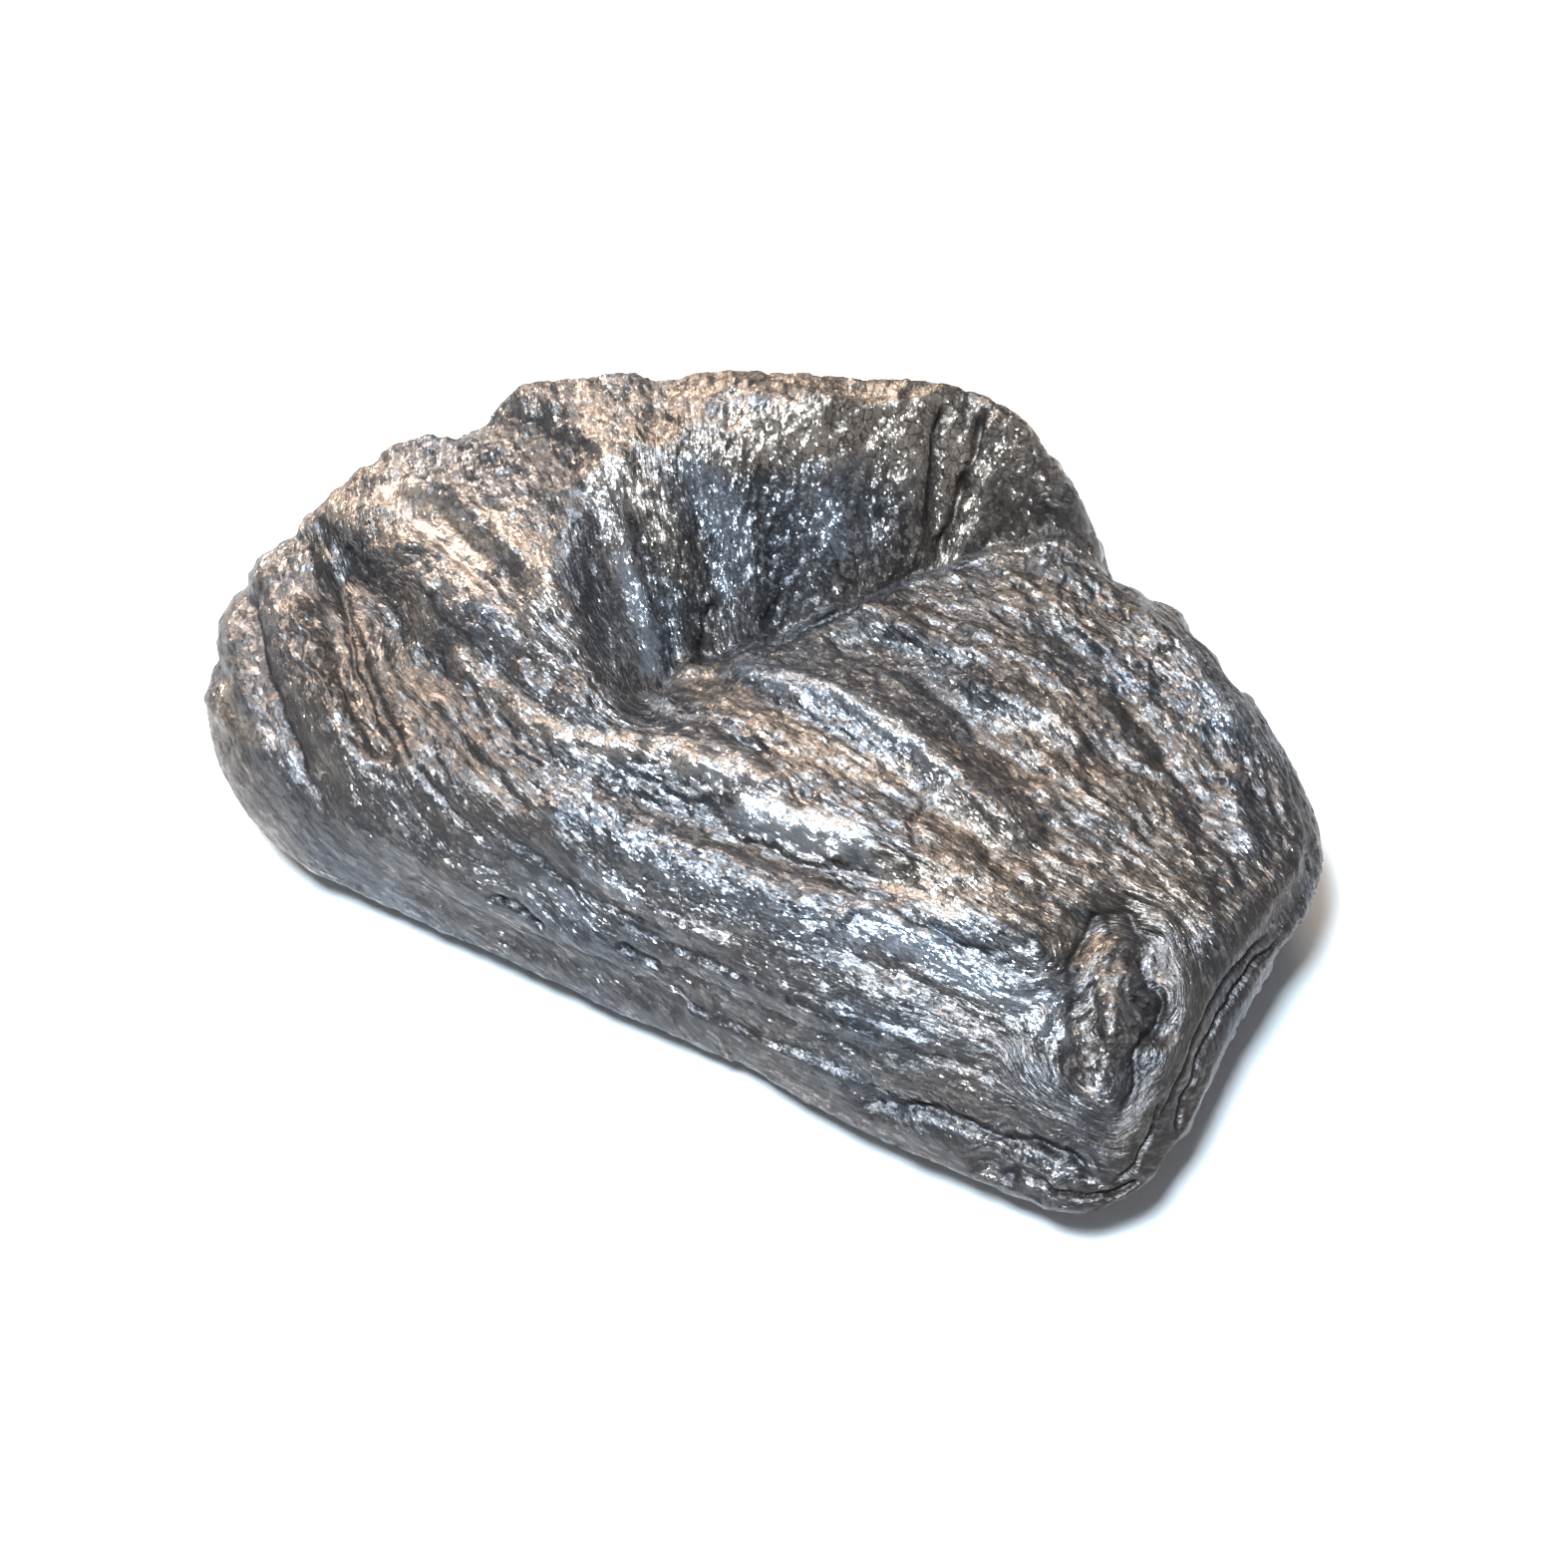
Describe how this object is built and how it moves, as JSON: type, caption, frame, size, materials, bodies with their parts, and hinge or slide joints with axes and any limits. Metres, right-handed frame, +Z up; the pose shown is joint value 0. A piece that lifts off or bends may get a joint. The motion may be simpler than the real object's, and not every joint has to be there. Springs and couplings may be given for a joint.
{
  "type": "raw graphite specimen",
  "caption": "Broken hand specimen of raw flaky graphite with a deep scoop and a fibrous grain, lying on a small flat spot.",
  "frame": {"origin": "centre of the bounding box at its bottom, on the surface the stone lies on", "axes": "+X along the grain towards the end with the folded knuckle, +Y towards the high back rim, +Z up"},
  "size_m": [0.0716, 0.0446, 0.0234],
  "materials": {
    "raw_graphite": "metallic grey graphite, flaky and streaked along the grain, satin to bright on the cleavage flakes, with faint brown staining"
  },
  "bodies": {
    "root": {"graphite_lump": "raw_graphite"}
  },
  "joints": []
}
